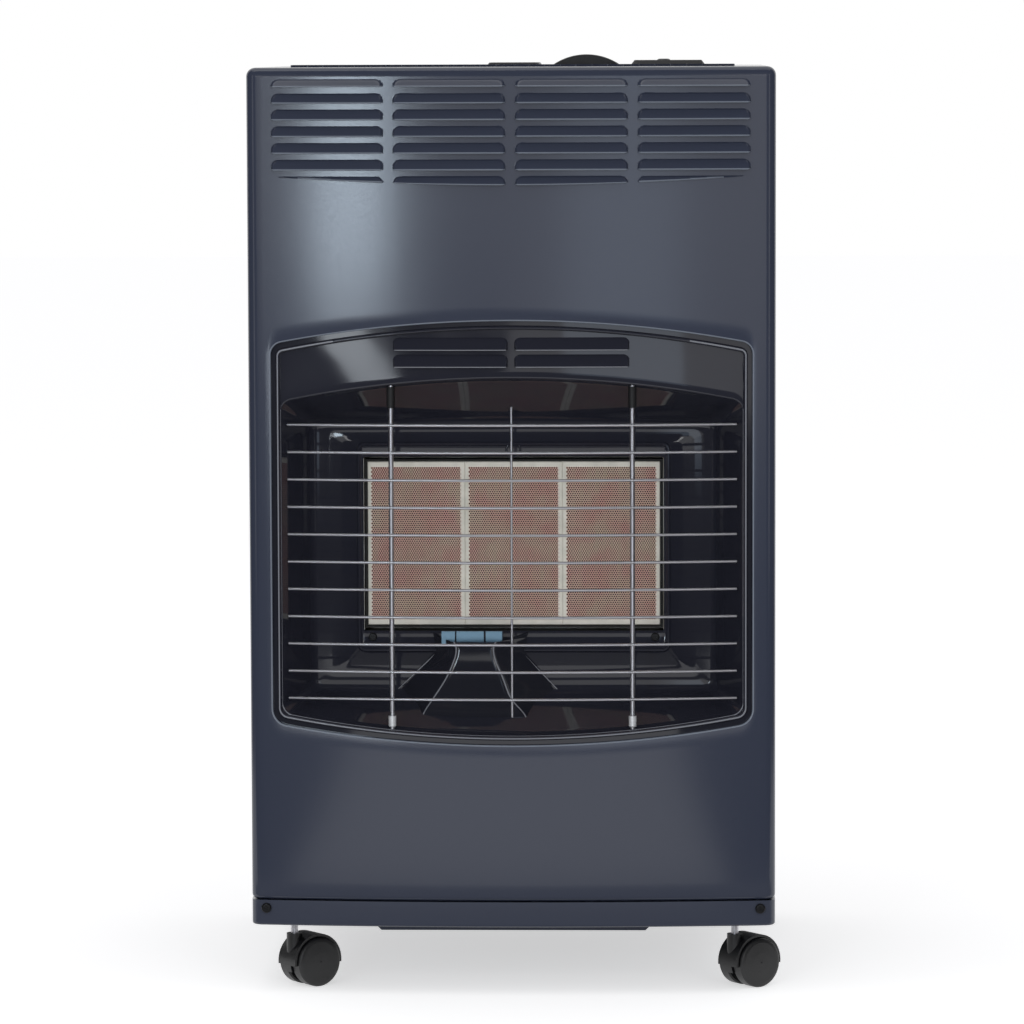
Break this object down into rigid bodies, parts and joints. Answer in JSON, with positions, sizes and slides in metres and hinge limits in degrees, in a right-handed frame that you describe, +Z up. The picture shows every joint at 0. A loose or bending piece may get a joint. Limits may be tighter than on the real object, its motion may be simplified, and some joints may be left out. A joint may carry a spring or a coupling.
{
  "type": "cabinet gas heater",
  "caption": "Floor-standing infrared cabinet heater for bottled gas: bowed louvred front, dished black radiant opening with ceramic plaques behind a wire guard, top controls, casters.",
  "frame": {"origin": "on the floor, under the middle of the cabinet", "axes": "+X to the right seen from the front, +Y to the back, +Z up; the radiant front faces -Y"},
  "size_m": [0.4302, 0.425, 0.7506],
  "materials": {
    "cabinet_paint": "satin anthracite powder coat",
    "dish_enamel": "gloss black enamel",
    "guard_zinc": "bright zinc-plated wire",
    "zinc_sheet": "galvanised sheet steel",
    "aluminised_steel": "aluminised sheet steel",
    "plaque_ceramic": "unglazed cordierite",
    "fibre_gasket": "ceramic fibre felt",
    "brass": "machined",
    "copper": "drawn copper tube",
    "valve_casting": "die cast",
    "stainless": "stainless steel",
    "black_screws": "black-plated steel",
    "control_plastic": "fine-grained moulding",
    "caster_plastic": "moulded nylon",
    "lead_sleeve": "silicone sleeve",
    "insulator": "glazed alumina"
  },
  "bodies": {
    "cabinet": {"base_tray": "cabinet_paint", "bay_partition": "zinc_sheet", "burner_box": "aluminised_steel", "burner_plaques": "plaque_ceramic", "burner_venturis": "aluminised_steel", "caster_stems": "guard_zinc", "control_bezel": "control_plastic", "front_panel": "cabinet_paint", "gas_pipe_high": "copper", "gas_pipe_low": "copper", "gas_pipe_medium": "copper", "gas_valve_body": "valve_casting", "guard_feet": "guard_zinc", "guard_rods": "guard_zinc", "guard_sleeves": "black_screws", "guard_wires": "guard_zinc", "hose_nozzle": "brass", "ignition_lead": "lead_sleeve", "injector_rail": "zinc_sheet", "injectors": "brass", "piezo_igniter": "control_plastic", "pilot_bracket": "stainless", "pilot_burner": "brass", "pilot_electrode": "insulator", "pilot_gas_tube": "copper", "pilot_shroud": "dish_enamel", "pilot_thermocouple": "stainless", "pipe_nuts": "brass", "plaque_frame": "aluminised_steel", "plaque_gasket": "fibre_gasket", "rear_top_rail": "zinc_sheet", "reflector": "dish_enamel", "reflector_screws": "black_screws", "side_panel_left": "cabinet_paint", "side_panel_right": "cabinet_paint", "skirt_screws": "black_screws", "thermocouple_lead": "copper", "top_cover": "cabinet_paint", "valve_bracket": "zinc_sheet"},
    "rear_cover": {"rear_cover": "cabinet_paint"},
    "gas_plug": {"valve_plug": "brass"},
    "knob": {"control_knob": "control_plastic", "valve_spindle": "brass"},
    "igniter_button": {"piezo_button": "control_plastic"},
    "front_left_caster": {"caster_hood_front_left": "caster_plastic", "caster_axle_front_left": "guard_zinc"},
    "front_left_wheel_a": {"caster_wheel_front_left_a": "caster_plastic"},
    "front_left_wheel_b": {"caster_wheel_front_left_b": "caster_plastic"},
    "front_right_caster": {"caster_hood_front_right": "caster_plastic", "caster_axle_front_right": "guard_zinc"},
    "front_right_wheel_a": {"caster_wheel_front_right_a": "caster_plastic"},
    "front_right_wheel_b": {"caster_wheel_front_right_b": "caster_plastic"},
    "rear_left_caster": {"caster_hood_rear_left": "caster_plastic", "caster_axle_rear_left": "guard_zinc"},
    "rear_left_wheel_a": {"caster_wheel_rear_left_a": "caster_plastic"},
    "rear_left_wheel_b": {"caster_wheel_rear_left_b": "caster_plastic"},
    "rear_right_caster": {"caster_hood_rear_right": "caster_plastic", "caster_axle_rear_right": "guard_zinc"},
    "rear_right_wheel_a": {"caster_wheel_rear_right_a": "caster_plastic"},
    "rear_right_wheel_b": {"caster_wheel_rear_right_b": "caster_plastic"}
  },
  "joints": [
    {"name": "rear_cover_lift", "type": "slide", "parent": "cabinet", "child": "rear_cover", "axis": [0, 0, 1], "range_m": [0, 0.7]},
    {"name": "knob_turn", "type": "hinge", "parent": "cabinet", "child": "gas_plug", "pos_m": [0.058, -0.06, 0.72], "axis": [0, 0, 1], "range_deg": [0, 210]},
    {"name": "knob_push", "type": "slide", "parent": "gas_plug", "child": "knob", "axis": [0, 0, -1], "range_m": [0, 0.004], "stiffness_N_per_m": 1500, "springref_m": -0.002},
    {"name": "igniter_push", "type": "slide", "parent": "cabinet", "child": "igniter_button", "axis": [0, 0, -1], "range_m": [0, 0.005], "stiffness_N_per_m": 1800, "springref_m": -0.002},
    {"name": "front_left_swivel", "type": "hinge", "parent": "cabinet", "child": "front_left_caster", "pos_m": [-0.178, -0.165, 0.045], "axis": [0, 0, 1], "continuous": true},
    {"name": "front_left_roll_a", "type": "hinge", "parent": "front_left_caster", "child": "front_left_wheel_a", "pos_m": [-0.16618, -0.15576, 0.02], "axis": [-0.6157, 0.788, 0], "continuous": true},
    {"name": "front_left_roll_b", "type": "hinge", "parent": "front_left_caster", "child": "front_left_wheel_b", "pos_m": [-0.16618, -0.15576, 0.02], "axis": [-0.6157, 0.788, 0], "continuous": true},
    {"name": "front_right_swivel", "type": "hinge", "parent": "cabinet", "child": "front_right_caster", "pos_m": [0.178, -0.165, 0.045], "axis": [0, 0, 1], "continuous": true},
    {"name": "front_right_roll_a", "type": "hinge", "parent": "front_right_caster", "child": "front_right_wheel_a", "pos_m": [0.18982, -0.15576, 0.02], "axis": [-0.6157, 0.788, 0], "continuous": true},
    {"name": "front_right_roll_b", "type": "hinge", "parent": "front_right_caster", "child": "front_right_wheel_b", "pos_m": [0.18982, -0.15576, 0.02], "axis": [-0.6157, 0.788, 0], "continuous": true},
    {"name": "rear_left_swivel", "type": "hinge", "parent": "cabinet", "child": "rear_left_caster", "pos_m": [-0.178, 0.16, 0.045], "axis": [0, 0, 1], "continuous": true},
    {"name": "rear_left_roll_a", "type": "hinge", "parent": "rear_left_caster", "child": "rear_left_wheel_a", "pos_m": [-0.18982, 0.16923, 0.02], "axis": [-0.6157, -0.788, 0], "continuous": true},
    {"name": "rear_left_roll_b", "type": "hinge", "parent": "rear_left_caster", "child": "rear_left_wheel_b", "pos_m": [-0.18982, 0.16923, 0.02], "axis": [-0.6157, -0.788, 0], "continuous": true},
    {"name": "rear_right_swivel", "type": "hinge", "parent": "cabinet", "child": "rear_right_caster", "pos_m": [0.178, 0.16, 0.045], "axis": [0, 0, 1], "continuous": true},
    {"name": "rear_right_roll_a", "type": "hinge", "parent": "rear_right_caster", "child": "rear_right_wheel_a", "pos_m": [0.18982, 0.16923, 0.02], "axis": [-0.6157, 0.788, 0], "continuous": true},
    {"name": "rear_right_roll_b", "type": "hinge", "parent": "rear_right_caster", "child": "rear_right_wheel_b", "pos_m": [0.18982, 0.16923, 0.02], "axis": [-0.6157, 0.788, 0], "continuous": true}
  ]
}
